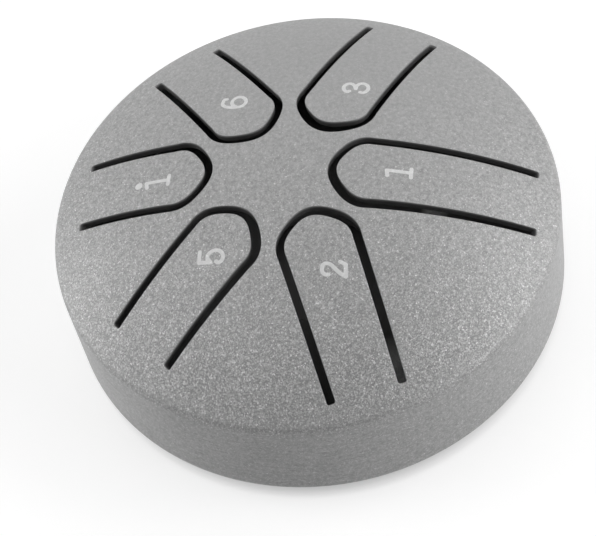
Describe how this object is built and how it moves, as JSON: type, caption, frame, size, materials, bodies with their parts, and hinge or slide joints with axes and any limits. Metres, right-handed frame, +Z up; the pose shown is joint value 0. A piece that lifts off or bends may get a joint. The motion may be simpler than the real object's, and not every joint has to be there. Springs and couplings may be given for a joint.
{
  "type": "steel tongue drum",
  "caption": "Small round steel tongue drum: a domed shell whose slotted tongues bend and ring when struck, closed below by a plate with a sound hole, on soft feet.",
  "frame": {"origin": "on the table under the drum's axis, level with the underside of the feet", "axes": "+Z up along the drum's axis; the player sits on the -Y side, with tongue 1 nearest to them"},
  "size_m": [0.08, 0.08, 0.0317],
  "materials": {
    "drum_steel": "bead-blasted silver",
    "foot_rubber": "soft black silicone"
  },
  "bodies": {
    "drum": {"shell": "drum_steel", "base_plate": "drum_steel", "foot_front": "foot_rubber", "foot_rear_left": "foot_rubber", "foot_rear_right": "foot_rubber"},
    "tongue_1": {"tongue_1": "drum_steel"},
    "tongue_2": {"tongue_2": "drum_steel"},
    "tongue_3": {"tongue_3": "drum_steel"},
    "tongue_5": {"tongue_5": "drum_steel"},
    "tongue_6": {"tongue_6": "drum_steel"},
    "tongue_high_1": {"tongue_high_1": "drum_steel"}
  },
  "joints": [
    {"name": "tongue_1_flex", "type": "hinge", "parent": "drum", "child": "tongue_1", "pos_m": [0, -0.03649, 0.02166], "axis": [-1, 0, 0], "range_deg": [-0.6, 0.6], "stiffness_Nm_per_rad": 29.2},
    {"name": "tongue_2_flex", "type": "hinge", "parent": "drum", "child": "tongue_2", "pos_m": [-0.03407, -0.01308, 0.02166], "axis": [-0.3584, 0.9336, 0], "range_deg": [-0.6, 0.6], "stiffness_Nm_per_rad": 32},
    {"name": "tongue_3_flex", "type": "hinge", "parent": "drum", "child": "tongue_3", "pos_m": [0.03407, -0.01308, 0.02166], "axis": [-0.3584, -0.9336, 0], "range_deg": [-0.6, 0.6], "stiffness_Nm_per_rad": 32.8},
    {"name": "tongue_5_flex", "type": "hinge", "parent": "drum", "child": "tongue_5", "pos_m": [-0.02712, 0.02196, 0.02252], "axis": [0.6293, 0.7771, 0], "range_deg": [-0.6, 0.6], "stiffness_Nm_per_rad": 37.2},
    {"name": "tongue_6_flex", "type": "hinge", "parent": "drum", "child": "tongue_6", "pos_m": [0.02712, 0.02196, 0.02252], "axis": [0.6293, -0.7771, 0], "range_deg": [-0.6, 0.6], "stiffness_Nm_per_rad": 35.4},
    {"name": "tongue_high_1_flex", "type": "hinge", "parent": "drum", "child": "tongue_high_1", "pos_m": [0, 0.03489, 0.02252], "axis": [1, 0, 0], "range_deg": [-0.6, 0.6], "stiffness_Nm_per_rad": 42.5}
  ]
}
